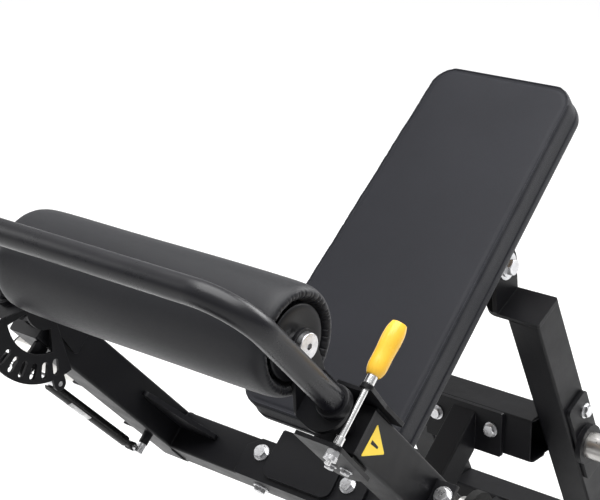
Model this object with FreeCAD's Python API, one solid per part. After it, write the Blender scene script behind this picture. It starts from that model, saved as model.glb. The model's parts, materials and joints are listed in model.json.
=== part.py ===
import FreeCAD, Part
import math
import os

# Plate-loaded hip thrust machine: a floor frame with two rear struts carries a swing frame on one
# cross shaft. The swing frame is a back pad and a U of square tube with weight horns. A hip roller
# with a bent handle tube is hinged on the front of the U and indexed by a slotted sector plate.
# All lengths are in millimetres. X is the machine's right, Y its back and Z up.
# The origin is on the floor, at the middle of the machine's length and width.

os.makedirs("parts", exist_ok=True)
V = FreeCAD.Vector

# ---- driving dimensions ----
FRONT_REACH = 735.0        # roller centre to the front of the base
REAR_REACH = 1010.0        # roller centre to the back of the base
ROLLER_HEIGHT = 780.0      # roller centre above the floor
ROLLER_Y = (FRONT_REACH - REAR_REACH) / 2
ARM_SLOPE = 45.8           # the arms run down and back at this angle
STRUT_LEAN = 27.25         # rear struts from the vertical
BRACE_LEAN = 49.0          # centre brace from the vertical

TUBE = 60.0                # arm and cross member, width
TUBE_HIGH = 68.0           # and height, square to the arm
WALL = 3.0
TUBE_CORNER = 4.0
ARM_X = 300.0              # arm centre line
ARM_HALF = TUBE / 2
ARM_INNER = ARM_X - ARM_HALF
ARM_OUTER = ARM_X + ARM_HALF
ARM_C = -51.3              # arm centre line below the roller centre, square to the arm
ARM_FRONT = 113.0          # along the arm from the roller centre
ARM_BACK = 565.0
ARM_TOP = ARM_C + TUBE_HIGH / 2
ARM_BOTTOM = ARM_C - TUBE_HIGH / 2

PIVOT_D = 576.0            # main pivot, along and square to the arm
PIVOT_C = 415.0
SHAFT_R = 12.5
RUNNING = 0.05             # radial clearance of every running fit

PAD_FRONT = 449.0          # pad face along the arm, level with the roller centre
PAD_LEAN = 3.5             # pad face from square to the arm
PAD_HALF_LOW = 157.0       # half width of the pad at its two ends
PAD_HALF_HIGH = 139.0
PAD_FOAM = 51.0
PAD_BOARD = 12.0
PAD_LOW = 20.0
PAD_HIGH = 723.0
PAD_CORNER = 42.0
SCREW_ROWS = (110, 560)    # pad screws, up the pad
SCREW_COLUMNS = (-80, 80)

ROLLER_R = 77.0
ROLLER_HALF = 250.0
AXLE_R = 10.0
HINGE_D = 78.0             # roller carriage hinge
HINGE_C = -30.0
HINGE_R = 7.0

HANDLE_R = 17.5
HANDLE_WALL = 3.0
HANDLE_X = 310.0
HANDLE_RUN_D = -212.0
HANDLE_BEND = 70.0
HANDLE_C = -45.0
CARRIAGE_FACE_D = 52.0     # front of the carriage base plates
CARRIAGE_PLATE = 5.0
BRACKET_X = 255.5          # inner face of the roller brackets

SLOT_RADIUS = 110.0
SLOT_PITCH = 11.7          # degrees between index slots
SLOT_REST = 25.0           # angle of the slot at the index pin, from straight below the hinge
SLOTS_BELOW = 3            # slots on the front side of that one
SLOTS_ABOVE = 2
RIM_RADIUS = 130.0
PIN_R = 4.0

SPRING_X = -310.0
SPRING_BALL = (464.0, -115.0)
SPRING_LUG = (188.0, -119.0)
SPRING_EYE_HALF = 6.0
SPRING_EYE_R = 7.5

BASE_TUBE = 70.0
FOOT_PAD = 10.0
BASE_TOP = FOOT_PAD + BASE_TUBE
BASE_HALF_WIDTH = 330.0
STRUT_X = 165.0
STRUT_WIDTH = 60.0
STRUT_DEPTH = 68.0
STRUT_TOP = (681.7, -211.1)        # back and up from the roller centre: front face under the cap
EAR_X = 110.0
EAR_THICKNESS = 8.0
BEAM = 80.0
BEAM_FRONT = 775.0
BEAM_TOP = -430.0
HORN_R = 24.5
HORN_ROOT_R = 23.0
HORN_FACE_X = 366.0        # outer face of the horn's collar
HORN_TIP_X = 590.0
HORN_D = 408.0
HORN_C = -38.0
STORE_R = 24.0
STORE_ROOT_R = 22.0
STORE_TIP_X = 385.0
LATCH_X = 340.0            # pull pin
LATCH_D = 52.0
PLATFORM_SLOPE = 30.0
PLATFORM_CENTRE = (-575.0, -500.0)  # back and up from the roller centre

nodes = {}


# ---- frames ----
def frame_at(y, z, degrees):
    """Local axes turned about X, at a point given back and up from the roller centre."""
    origin = V(0, ROLLER_Y + y, ROLLER_HEIGHT + z)
    return FreeCAD.Placement(origin, FreeCAD.Rotation(V(1, 0, 0), degrees))


WORLD = FreeCAD.Placement()
SWING = frame_at(0, 0, -ARM_SLOPE)          # local y runs along the arms, local z square to them
STRUT = frame_at(STRUT_TOP[0], STRUT_TOP[1], STRUT_LEAN)
BRACE = frame_at(BEAM_FRONT - 8, -440, -BRACE_LEAN)
PLATFORM = frame_at(PLATFORM_CENTRE[0], PLATFORM_CENTRE[1], -PLATFORM_SLOPE)
LEAN = FreeCAD.Rotation(V(1, 0, 0), -PAD_LEAN)
PAD = SWING.multiply(FreeCAD.Placement(V(0, PAD_FRONT, 0), LEAN))   # local y runs into the pad


def placed(shape, frame):
    moved = shape.copy()
    moved.Placement = frame.multiply(moved.Placement)
    return moved


def add(name, shape, frame=WORLD):
    """Add solids to a node."""
    moved = placed(shape, frame)
    if name in nodes:
        moved = Part.makeCompound([nodes[name], moved])
    nodes[name] = moved


def add_pair(name, shape, frame=WORLD):
    """Add a right-hand part and its mirror image."""
    right = placed(shape, frame)
    add(name, right)
    add(name, mirrored(right))


# ---- shapes ----
def box(x0, x1, y0, y1, z0, z1):
    return Part.makeBox(x1 - x0, y1 - y0, z1 - z0, V(x0, y0, z0))


def rod(radius, start, end):
    axis = V(*end) - V(*start)
    return Part.makeCylinder(radius, axis.Length, V(*start), axis)


def ring(outer, inner, start, end):
    return rod(outer, start, end).cut(rod(inner, start, end))


def outline(discs):
    """Closed wire pulled tight round discs (x, y, radius), listed counter-clockwise."""
    count = len(discs)
    normals = []
    for i in range(count):
        x1, y1, r1 = discs[i]
        x2, y2, r2 = discs[(i + 1) % count]
        length = math.hypot(x2 - x1, y2 - y1)
        along = (r1 - r2) / length
        across = math.sqrt(1 - along * along)
        ux = (x2 - x1) / length
        uy = (y2 - y1) / length
        normals.append(math.atan2(uy * along - ux * across, ux * along + uy * across))
    edges = []
    for i in range(count):
        x, y, r = discs[i]
        start = normals[i - 1]
        end = normals[i]
        while end < start:
            end += 2 * math.pi
        middle = (start + end) / 2
        arc = [V(x + r * math.cos(a), y + r * math.sin(a), 0) for a in (start, middle, end)]
        edges.append(Part.Arc(*arc).toShape())
        x2, y2, r2 = discs[(i + 1) % count]
        landing = V(x2 + r2 * math.cos(end), y2 + r2 * math.sin(end), 0)
        edges.append(Part.makeLine(arc[2], landing))
    return Part.Wire(edges)


def plate(discs, thickness):
    return Part.Face(outline(discs)).extrude(V(0, 0, thickness))


def facing_x(shape, x):
    """Stand an XY shape up in YZ, its thickness starting at x."""
    turned = shape.copy()
    turned.rotate(V(0, 0, 0), V(1, 1, 1), 120)
    turned.translate(V(x, 0, 0))
    return turned


def facing_y(shape, y_far):
    """Stand an XY shape up in XZ, its thickness ending at y_far."""
    turned = shape.copy()
    turned.rotate(V(0, 0, 0), V(1, 0, 0), 90)
    turned.translate(V(0, y_far, 0))
    return turned


def lifted(shape, z):
    turned = shape.copy()
    turned.translate(V(0, 0, z))
    return turned


def rounded(width, height, radius):
    w = width / 2 - radius
    h = height / 2 - radius
    return [(-w, -h, radius), (w, -h, radius), (w, h, radius), (-w, h, radius)]


def square_tube(width, height, length, wall=WALL):
    """Tube along +Z, centred on the axis."""
    outer = plate(rounded(width, height, TUBE_CORNER), length)
    inner = plate(rounded(width - 2 * wall, height - 2 * wall, TUBE_CORNER - wall), length)
    return outer.cut(inner)


def tube_along_y(x, z, y0, y1, width=TUBE, height=TUBE):
    tube = facing_y(square_tube(width, height, y1 - y0), y1)
    tube.translate(V(x, 0, z))
    return tube


def tube_along_x(x0, x1, y, z, width=TUBE, height=TUBE):
    tube = facing_x(square_tube(width, height, x1 - x0), x0)
    tube.translate(V(0, y, z))
    return tube


def mirrored(shape):
    return shape.mirror(V(0, 0, 0), V(1, 0, 0))


def fused(shapes):
    whole = shapes[0]
    for shape in shapes[1:]:
        whole = whole.fuse(shape)
    return whole.removeSplitter()


def hexagon(across_flats, height):
    corner = across_flats / math.sqrt(3)
    points = [V(corner * math.cos(math.pi * k / 3), corner * math.sin(math.pi * k / 3), 0)
              for k in range(7)]
    prism = Part.Face(Part.makePolygon(points)).extrude(V(0, 0, height))
    dome = Part.makeCone(corner * 1.02 + height * 0.6, corner * 0.86, height)
    return prism.common(dome)


def hex_bolt(size, grip):
    """Bolt with a washer: the seat is at z = 0, the head above it and the shank below."""
    washer = Part.makeCylinder(size * 1.15, size * 0.18)
    head = lifted(hexagon(size * 1.6, size * 0.62), size * 0.18)
    shank = Part.makeCylinder(size / 2, grip, V(0, 0, -grip))
    return fused([washer, head, shank])


def fasten(group, frame, spots, direction, size, grip, through):
    """Put bolts at the spots, heads facing the direction, and drill what they pass through."""
    turn = FreeCAD.Rotation(V(0, 0, 1), V(*direction))
    for spot in spots:
        seat = frame.multiply(FreeCAD.Placement(V(*spot), turn))
        bolt = placed(hex_bolt(size, grip), seat)
        drill = Part.makeCylinder(size / 2 + 0.2, grip + 1, V(0, 0, -grip - 0.5))
        hole = placed(drill, seat)
        for name in through:
            nodes[name] = nodes[name].cut(hole)
        add(group, bolt)


# ---- floor frame ----
def build_base():
    front = ROLLER_Y - FRONT_REACH
    back = ROLLER_Y + REAR_REACH
    middle_z = FOOT_PAD + BASE_TUBE / 2
    cap = plate(rounded(BASE_TUBE, BASE_TUBE, TUBE_CORNER), 4)
    for y in (front + BASE_TUBE / 2, back - BASE_TUBE / 2):
        foot = tube_along_x(-BASE_HALF_WIDTH, BASE_HALF_WIDTH, y, middle_z, BASE_TUBE, BASE_TUBE)
        add("cross_feet", foot)
        for x in (-BASE_HALF_WIDTH - 4, BASE_HALF_WIDTH):
            end = facing_x(cap, x)
            end.translate(V(0, y, middle_z))
            add("foot_end_caps", end)
        for x in (-285, 285):
            add("rubber_feet", Part.makeCone(34, 30, FOOT_PAD, V(x, y, 0)))
    rail = tube_along_y(0, middle_z, front + BASE_TUBE, back - BASE_TUBE, BASE_TUBE, BASE_TUBE)
    add("base_center_rail", rail)
    add("rubber_feet", Part.makeCone(34, 30, FOOT_PAD, V(0, ROLLER_Y + 300, 0)))


def build_struts():
    long = 700
    tube = square_tube(STRUT_WIDTH, STRUT_DEPTH, long)
    tube.translate(V(STRUT_X, STRUT_DEPTH / 2, -long))
    keep = box(-500, 500, -2000, 2000, BASE_TOP, 2000)
    pivot = STRUT.inverse().multVec(SWING.multVec(V(0, PIVOT_D, PIVOT_C)))
    cap_t = 8.0
    cap_discs = [(112, 31, 30), (191, 5, 5), (191, STRUT_DEPTH - 5, 5), (100, STRUT_DEPTH - 5, 5)]
    ear_discs = [(4, cap_t + 4, 5), (STRUT_DEPTH - 5, cap_t + 4, 5), (pivot.y, pivot.z, 31)]
    ear = facing_x(plate(ear_discs, EAR_THICKNESS), EAR_X)
    ear = ear.cut(rod(SHAFT_R, (EAR_X - 1, pivot.y, pivot.z), (EAR_X + 20, pivot.y, pivot.z)))
    add_pair("rear_struts", placed(tube, STRUT).common(keep))
    add_pair("pivot_brackets", fused([plate(cap_discs, cap_t), ear]), STRUT)


def build_beam_and_brace():
    inner = STRUT_X - STRUT_WIDTH / 2
    y = ROLLER_Y + BEAM_FRONT + BEAM / 2
    z = ROLLER_HEIGHT + BEAM_TOP - BEAM / 2
    add("rear_upper_crossbeam", tube_along_x(-inner, inner, y, z, BEAM, BEAM))
    plate_discs = rounded(160, 84, 4)
    end_plate = facing_y(plate(plate_discs, 8), ROLLER_Y + BEAM_FRONT)
    end_plate.translate(V(0, 0, z - 2))
    tube = square_tube(50, 60, 700)
    tube.translate(V(0, 30, -640))
    room = box(-500, 500, -2000, ROLLER_Y + BEAM_FRONT - 8, BASE_TOP, 2000)
    add("center_brace", fused([placed(tube, BRACE).common(room), end_plate]))
    bolt_y = ROLLER_Y + BEAM_FRONT - 8
    spots = [(x, bolt_y, z + 4) for x in (-58, 58)]
    fasten("frame_bolts", WORLD, spots, (0, -1, 0), 12, 14, ["center_brace", "rear_upper_crossbeam"])


def build_stop():
    low = ARM_C - 25
    brace_space = placed(box(-100, 100, 0, 400, -900, 400), BRACE)
    post = tube_along_y(0, ARM_C, ARM_BACK + 18.3, 900, 50, 50)
    add("stop_post", placed(post, SWING).cut(brace_space))
    pad = box(-25, 25, ARM_BACK + 0.3, ARM_BACK + 18.3, low, low + 50)
    add("stop_bumper", pad.makeFillet(3, pad.Edges), SWING)


def build_pivot():
    end = EAR_X + EAR_THICKNESS
    add("pivot_shaft", rod(SHAFT_R, (-end, PIVOT_D, PIVOT_C), (end, PIVOT_D, PIVOT_C)), SWING)
    for sign in (-1, 1):
        face = sign * (EAR_X + EAR_THICKNESS)
        washer = ring(24, 8.1, (face, PIVOT_D, PIVOT_C), (face + 3.5 * sign, PIVOT_D, PIVOT_C))
        add("pivot_bolts", washer, SWING)
        spot = [(face + 3.5 * sign, PIVOT_D, PIVOT_C)]
        fasten("pivot_bolts", SWING, spot, (sign, 0, 0), 16, 30, ["pivot_shaft"])


def build_storage():
    plate_discs = [(14, -386, 8), (58, -386, 8), (58, -222, 8), (14, -222, 8)]
    mount = facing_x(plate(plate_discs, 8), STRUT_X + STRUT_WIDTH / 2)
    x0 = STRUT_X + STRUT_WIDTH / 2 + 8
    face = x0 + 10
    at = (26.0, -314.0)
    bore = STORE_R - 3
    horn = fused([ring(STORE_ROOT_R, bore, (x0, *at), (face, *at)),
                  ring(STORE_R, bore, (face, *at), (STORE_TIP_X, *at))])
    collar = ring(36, STORE_ROOT_R, (x0, *at), (face, *at))
    cap = fused([rod(STORE_R - 1, (STORE_TIP_X, *at), (STORE_TIP_X + 4, *at)),
                 rod(bore, (STORE_TIP_X - 12, *at), (STORE_TIP_X, *at))])
    for name, shape in (("storage_plates", fused([mount, collar])), ("storage_horns", horn),
                        ("storage_horn_caps", cap)):
        add_pair(name, shape, STRUT)
    for sign in (1, -1):
        spots = [(sign * x0, 48, z) for z in (-250, -366)]
        fasten("frame_bolts", STRUT, spots, (sign, 0, 0), 12, 14, ["storage_plates", "rear_struts"])


def build_platform():
    tread = plate(rounded(560, 340, 20), 5)
    add("foot_plate", lifted(tread, -5), PLATFORM)
    for x in (-180, 180):
        add("platform_frame", tube_along_y(x, -25, -156, 160, 40, 40), PLATFORM)
    add("platform_frame", tube_along_x(-205, 205, 120, -65, 40, 40), PLATFORM)
    under_rails = placed(box(-900, 900, -900, 900, -45, 900), PLATFORM)
    under_bar = placed(box(-900, 900, -900, 900, -85, 900), PLATFORM)
    foot_y = ROLLER_Y - FRONT_REACH + BASE_TUBE / 2
    for x in (-180, 180):
        post = square_tube(50, 50, 600)
        post.translate(V(x, foot_y, BASE_TOP))
        add("platform_posts", post.cut(under_rails))
    post = square_tube(50, 50, 400)
    post.translate(V(0, ROLLER_Y - 503, BASE_TOP))
    add("platform_posts", post.cut(under_bar))
    spots = [(x, y, 0) for x in (-180, 180) for y in (-130, 130)]
    fasten("frame_bolts", PLATFORM, spots, (0, 0, 1), 12, 14, ["foot_plate", "platform_frame"])


# ---- swing frame ----
def build_arms():
    corners = [(194, 499, 6), (ARM_INNER - 6, 384, 6), (ARM_INNER - 6, 499, 6)]
    add_pair("corner_gussets", lifted(plate(corners, 8), ARM_C + 4), SWING)
    end_cap = plate(rounded(TUBE, TUBE_HIGH, TUBE_CORNER), 5)
    end_cap.translate(V(ARM_X, ARM_C, 0))
    front_cap = facing_y(end_cap, ARM_FRONT)
    back_cap = facing_y(end_cap, ARM_BACK + 5)
    nose = rod(15, (ARM_X, ARM_FRONT - 15, ARM_C - 2), (ARM_X, ARM_FRONT - 5, ARM_C - 2))
    add_pair("arm_end_caps", fused([front_cap, nose]), SWING)
    add_pair("arm_end_caps", back_cap, SWING)
    lug_discs = [(HINGE_D, HINGE_C, 18), (190, -60, 6), (190, -28, 6)]
    lug = facing_x(plate(lug_discs, 6), ARM_INNER - 6)
    lug = lug.cut(rod(HINGE_R, (200, HINGE_D, HINGE_C), (300, HINGE_D, HINGE_C)))
    add_pair("hinge_lugs", lug, SWING)
    for name, x in (("arm_right", ARM_X), ("arm_left", -ARM_X)):
        add(name, tube_along_y(x, ARM_C, ARM_FRONT, ARM_BACK, TUBE, TUBE_HIGH), SWING)
    across = tube_along_x(-ARM_INNER, ARM_INNER, ARM_BACK - ARM_HALF, ARM_C, TUBE, TUBE_HIGH)
    add("cross_member", across, SWING)


def build_pad_bracket():
    """Welded bracket on the cross member with a shelf under the pad."""
    face = ARM_BACK - TUBE
    base_discs = [(-118, -82, 4), (118, -82, 4), (118, -38, 4), (98, -22, 4), (-98, -22, 4), (-118, -38, 4)]
    base_plate = facing_y(plate(base_discs, 8), face)
    tongue_discs = [(-50, -58, 18), (50, -58, 18), (62, 2, 4), (-62, 2, 4)]
    tongue = facing_y(plate(tongue_discs, 6), face - 8)
    shelf = box(-66, 66, face - 8, face + 9, 0, 6)
    cheeks = [box(x, x + 6, face - 8, face + 9, ARM_TOP, 0) for x in (-66, 60)]
    add("pad_bracket", fused([base_plate, tongue, shelf, *cheeks]), SWING)
    spots = [(x, face - 8, -41) for x in (-88, 88)]
    fasten("arm_bolts", SWING, spots, (0, -1, 0), 12, 14, ["pad_bracket", "cross_member"])
    under = [(x, 535, ARM_BOTTOM) for x in (-85, 85)]
    fasten("arm_bolts", SWING, under, (0, 0, -1), 12, 14, ["cross_member"])


def build_spine():
    """Tube up the back of the pad, with the hub that turns on the main shaft."""
    back = PAD_FOAM + PAD_BOARD
    hub_r = 28.0
    tube = square_tube(60, 50, 700)
    tube.translate(V(0, back + 6 + 25, -80))
    room = placed(box(-200, 200, 0, 900, ARM_TOP, 610), SWING)
    tube = placed(tube, PAD).common(room)
    hub_space = rod(hub_r, (-100, PIVOT_D, PIVOT_C), (100, PIVOT_D, PIVOT_C))
    middle = box(-200, 200, 0, 900, PIVOT_C - 9, PIVOT_C + 9)
    for cutter in (hub_space, middle):
        tube = tube.cut(placed(cutter, SWING))
    add("pad_spine", tube)
    hub_end = EAR_X - 6
    hub = ring(hub_r, 16, (-hub_end, PIVOT_D, PIVOT_C), (hub_end, PIVOT_D, PIVOT_C))
    add("pivot_hub", hub, SWING)
    bush_r = SHAFT_R + RUNNING
    for sign in (-1, 1):
        end = sign * hub_end
        inside = ring(16, bush_r, (end - sign * 26, PIVOT_D, PIVOT_C), (end, PIVOT_D, PIVOT_C))
        lip = ring(22, bush_r, (end, PIVOT_D, PIVOT_C), (end + sign * 3, PIVOT_D, PIVOT_C))
        add("pivot_bushes", fused([inside, lip]), SWING)
    for z in SCREW_ROWS:
        carrier = facing_y(plate(rounded(200, 50, 8), 6), back + 6)
        carrier.translate(V(0, 0, z))
        add("pad_carrier_plates", carrier, PAD)
    spots = [(x, back + 6, z) for x in SCREW_COLUMNS for z in SCREW_ROWS]
    fasten("small_screws", PAD, spots, (0, 1, 0), 8, 16, ["pad_carrier_plates"])


def pad_outline(inset):
    """Pad seen from the front, a little wider at its lower end."""
    r = PAD_CORNER - inset
    low = PAD_LOW + PAD_CORNER
    high = PAD_HIGH - PAD_CORNER
    x_low = PAD_HALF_LOW - PAD_CORNER
    x_high = PAD_HALF_HIGH - PAD_CORNER
    return [(-x_low, low, r), (x_low, low, r), (x_high, high, r), (-x_high, high, r)]


def build_pad():
    board_far = PAD_FOAM + PAD_BOARD
    add("back_pad", facing_y(plate(pad_outline(0), PAD_FOAM), PAD_FOAM), PAD)
    board = facing_y(plate(pad_outline(6), PAD_BOARD), board_far)
    for x in SCREW_COLUMNS:
        for z in SCREW_ROWS:
            board = board.cut(rod(4.2, (x, board_far - 11, z), (x, board_far, z)))
    add("pad_board", board, PAD)


def build_horns():
    near = HORN_D - 86
    far = HORN_D + 78
    web_discs = [(near + 6, -75, 6), (far - 6, -75, 6), (far - 6, -31, 6), (near + 6, -31, 6)]
    web = facing_x(plate(web_discs, 6), ARM_OUTER)
    lips = [box(ARM_OUTER, HORN_FACE_X - 2, y, y + 6, -81, -25) for y in (near, far - 6)]
    at = (HORN_D, HORN_C)
    bore = HORN_R - 4
    horn = fused([ring(HORN_ROOT_R, bore, (ARM_OUTER + 6, *at), (HORN_FACE_X, *at)),
                  ring(HORN_R, bore, (HORN_FACE_X, *at), (HORN_TIP_X, *at))])
    collar = ring(38, HORN_ROOT_R, (HORN_FACE_X - 12, *at), (HORN_FACE_X, *at))
    tip = fused([rod(HORN_R - 1, (HORN_TIP_X, *at), (HORN_TIP_X + 5, *at)),
                 rod(bore, (HORN_TIP_X - 14, *at), (HORN_TIP_X, *at))])
    for name, shape in (("horn_brackets", fused([web, *lips])), ("weight_horns", horn),
                        ("horn_collars", collar), ("horn_end_caps", tip)):
        add_pair(name, shape, SWING)
    spots = [(sign * (ARM_OUTER + 20), near, -46) for sign in (-1, 1)]
    fasten("arm_bolts", SWING, spots, (0, -1, 0), 12, 14, ["horn_brackets"])


def build_pull_pin():
    x = LATCH_X
    y = LATCH_D
    flange_top = ARM_TOP + 9
    flange_low = ARM_BOTTOM - 11
    edge = ARM_OUTER + 11
    inner = ARM_INNER + 14
    upper = fused([plate([(inner, 74, 5), (edge - 6, 74, 6), (edge - 6, 164, 6), (inner, 164, 6)], 6),
                   plate([(x, y, 9), (edge - 4, 110, 4), (edge - 9, 110, 4)], 6)])
    upper = lifted(upper, flange_top - 6)
    lower_discs = [(inner, 45, 5), (x, y, 10), (edge - 6, 150, 6), (300, 170, 6), (inner, 164, 6)]
    lower = lifted(plate(lower_discs, 6), flange_low - 6)
    hole = rod(PIN_R + RUNNING, (x, y, -200), (x, y, 50))
    upper_spacer = box(ARM_INNER + 8, ARM_OUTER - 6, 118, 160, ARM_TOP, flange_top - 6)
    lower_spacer = box(ARM_INNER + 8, ARM_OUTER - 6, 118, 160, flange_low, ARM_BOTTOM)
    add("latch_flanges", fused([upper.cut(hole), upper_spacer]), SWING)
    add("latch_flanges", fused([lower.cut(hole), lower_spacer]), SWING)
    spots = [(x_bolt, 146, flange_top) for x_bolt in (290, 316)]
    fasten("small_screws", SWING, spots, (0, 0, 1), 8, 16, ["latch_flanges", "arm_right"])
    spots = [(x_bolt, 132, flange_low - 6) for x_bolt in (290, 316)]
    fasten("small_screws", SWING, spots, (0, 0, -1), 8, 16, ["latch_flanges"])
    guide = fused([rod(9, (x, y, flange_low - 20), (x, y, flange_low - 14)),
                   hexagon(16, 8).translated(V(x, y, flange_low - 14))])
    add("latch_guide_bush", guide.cut(hole), SWING)
    pin = rod(PIN_R, (x, y, flange_low - 26), (x, y, flange_top + 8))
    collar = rod(6, (x, y, flange_low + 2), (x, y, flange_low + 13))
    ferrule = rod(7, (x, y, flange_top + 1.5), (x, y, flange_top + 14))
    add("pull_pin_rod", fused([pin, collar, ferrule]), SWING)
    add("pull_pin_grip", barrel(x, y, flange_top + 14), SWING)


def barrel(x, y, z):
    """Turned grip, fullest above its middle."""
    profile = [(0, 0), (9.5, 0), (11.5, 4), (13.2, 26), (13.9, 46), (13.2, 66), (10.5, 76), (0, 78)]
    curve = Part.BSplineCurve()
    curve.interpolate([V(r, 0, h) for r, h in profile[1:-1]])
    ends = [Part.makeLine(V(*p), V(*q)) for p, q in
            (((0, 0, 0), (9.5, 0, 0)), ((10.5, 0, 76), (0, 0, 76)), ((0, 0, 76), (0, 0, 0)))]
    face = Part.Face(Part.Wire([ends[0], curve.toShape(), ends[1], ends[2]]))
    solid = face.revolve(V(0, 0, 0), V(0, 0, 1), 360)
    return solid.translated(V(x, y, z))


# ---- roller carriage ----
def slot_spot(angle, radius):
    a = math.radians(angle)
    return HINGE_D + radius * math.sin(a), HINGE_C - radius * math.cos(a)


def slot(angle, half_length, half_width):
    inner = slot_spot(angle, SLOT_RADIUS - half_length)
    outer = slot_spot(angle, SLOT_RADIUS + half_length)
    return plate([(*inner, half_width), (*outer, half_width)], 20)


def fan(radius, start, end, thickness):
    """Sector of a disc about the hinge, angles from straight below, towards the back."""
    disc = Part.makeCylinder(radius, thickness, V(HINGE_D, HINGE_C, 0))
    far = 400.0
    corners = [V(HINGE_D, HINGE_C, 0)]
    for angle in (start, (start + end) / 2, end):
        a = math.radians(angle)
        corners.append(V(HINGE_D + far * math.sin(a), HINGE_C - far * math.cos(a), 0))
    corners.append(corners[0])
    return disc.common(Part.Face(Part.makePolygon(corners)).extrude(V(0, 0, thickness)))


BRACKET_DISCS = [(0, 0, 22), (58, -66, 8), (HINGE_D, HINGE_C, 20)]


def build_brackets():
    arm = plate(BRACKET_DISCS, CARRIAGE_PLATE)
    holes = fused_holes()
    bracket = facing_x(arm.cut(holes), BRACKET_X)
    add("roller_bracket_right", bracket, SWING)
    rim = fan(RIM_RADIUS, -42, 62, CARRIAGE_PLATE)
    lug = plate([(*SPRING_LUG, 11), (*slot_spot(47, 100), 11)], CARRIAGE_PLATE)
    sector = fused([arm, rim, lug])
    window = fan(84, -34, 46, 20).cut(Part.makeCylinder(46, 20, V(HINGE_D, HINGE_C, 0)))
    sector = sector.cut(window)
    for k in range(-SLOTS_BELOW, SLOTS_ABOVE + 1):
        sector = sector.cut(slot(SLOT_REST + k * SLOT_PITCH, 7.5, 5.6))
    sector = sector.cut(holes)
    sector = sector.cut(Part.makeCylinder(4, 20, V(*SPRING_LUG, 0)))
    add("sector_plate", mirrored(facing_x(sector, BRACKET_X)), SWING)
    outer_face = -BRACKET_X - CARRIAGE_PLATE
    stud_end = SPRING_X + SPRING_EYE_HALF + 1
    stud = fused([rod(4, (-BRACKET_X, *SPRING_LUG), (outer_face - 6, *SPRING_LUG)),
                  rod(7, (outer_face, *SPRING_LUG), (stud_end, *SPRING_LUG))])
    add("spring_front_stud", stud, SWING)


def fused_holes():
    axle = Part.makeCylinder(AXLE_R, 20)
    hinge = Part.makeCylinder(HINGE_R + RUNNING, 20, V(HINGE_D, HINGE_C, 0))
    return Part.makeCompound([axle, hinge])


def build_base_plates():
    inner = BRACKET_X + CARRIAGE_PLATE
    discs = [(inner + 8, -72, 8), (297, -54, 34), (inner + 8, -15, 8)]
    base_plate = facing_y(plate(discs, 6), CARRIAGE_FACE_D + 6)
    front = CARRIAGE_FACE_D - 12
    collar_r = 24.0
    collar = ring(collar_r, HANDLE_R, (HANDLE_X, front, HANDLE_C), (HANDLE_X, CARRIAGE_FACE_D, HANDLE_C))
    collar = collar.makeFillet(2.5, outer_rim(collar, front, collar_r))
    add_pair("carriage_plates", fused([base_plate, collar]), SWING)


def outer_rim(shape, y, radius):
    """The circular edges of one radius at one y."""
    found = []
    for edge in shape.Edges:
        curve = edge.Curve
        if hasattr(curve, "Radius") and abs(curve.Radius - radius) < 0.01:
            if abs(curve.Center.y - y) < 0.01:
                found.append(edge)
    return found


def build_handle():
    """Bent tube: two legs along the arms joined by a straight run across the front."""
    leg_end = HANDLE_RUN_D + HANDLE_BEND
    run_end = HANDLE_X - HANDLE_BEND
    bend = HANDLE_BEND * (1 - math.sqrt(0.5))

    def corner(sign):
        points = [V(sign * HANDLE_X, leg_end, HANDLE_C),
                  V(sign * (HANDLE_X - bend), HANDLE_RUN_D + bend, HANDLE_C),
                  V(sign * run_end, HANDLE_RUN_D, HANDLE_C)]
        return points

    right = corner(1)
    left = corner(-1)
    left.reverse()
    start = V(HANDLE_X, CARRIAGE_FACE_D, HANDLE_C)
    finish = V(-HANDLE_X, CARRIAGE_FACE_D, HANDLE_C)
    path = Part.Wire([Part.makeLine(start, right[0]), Part.Arc(*right).toShape(),
                      Part.makeLine(right[2], left[0]), Part.Arc(*left).toShape(),
                      Part.makeLine(left[2], finish)])
    outer = swept(path, start, HANDLE_R)
    inner = swept(path, start, HANDLE_R - HANDLE_WALL)
    add("handle_tube", outer.cut(inner), SWING)


def swept(path, start, radius):
    circle = Part.Wire([Part.Circle(start, V(0, 1, 0), radius).toShape()])
    return path.makePipeShell([circle], True, True)


def build_hinge_pins():
    for sign in (-1, 1):
        inner = sign * (BRACKET_X - 1)
        outer = sign * ARM_INNER
        pin = rod(HINGE_R, (inner, HINGE_D, HINGE_C), (outer, HINGE_D, HINGE_C))
        head = rod(11, (inner, HINGE_D, HINGE_C), (inner - sign * 3, HINGE_D, HINGE_C))
        add("carriage_hinge_pins", fused([pin, head]), SWING)


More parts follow.
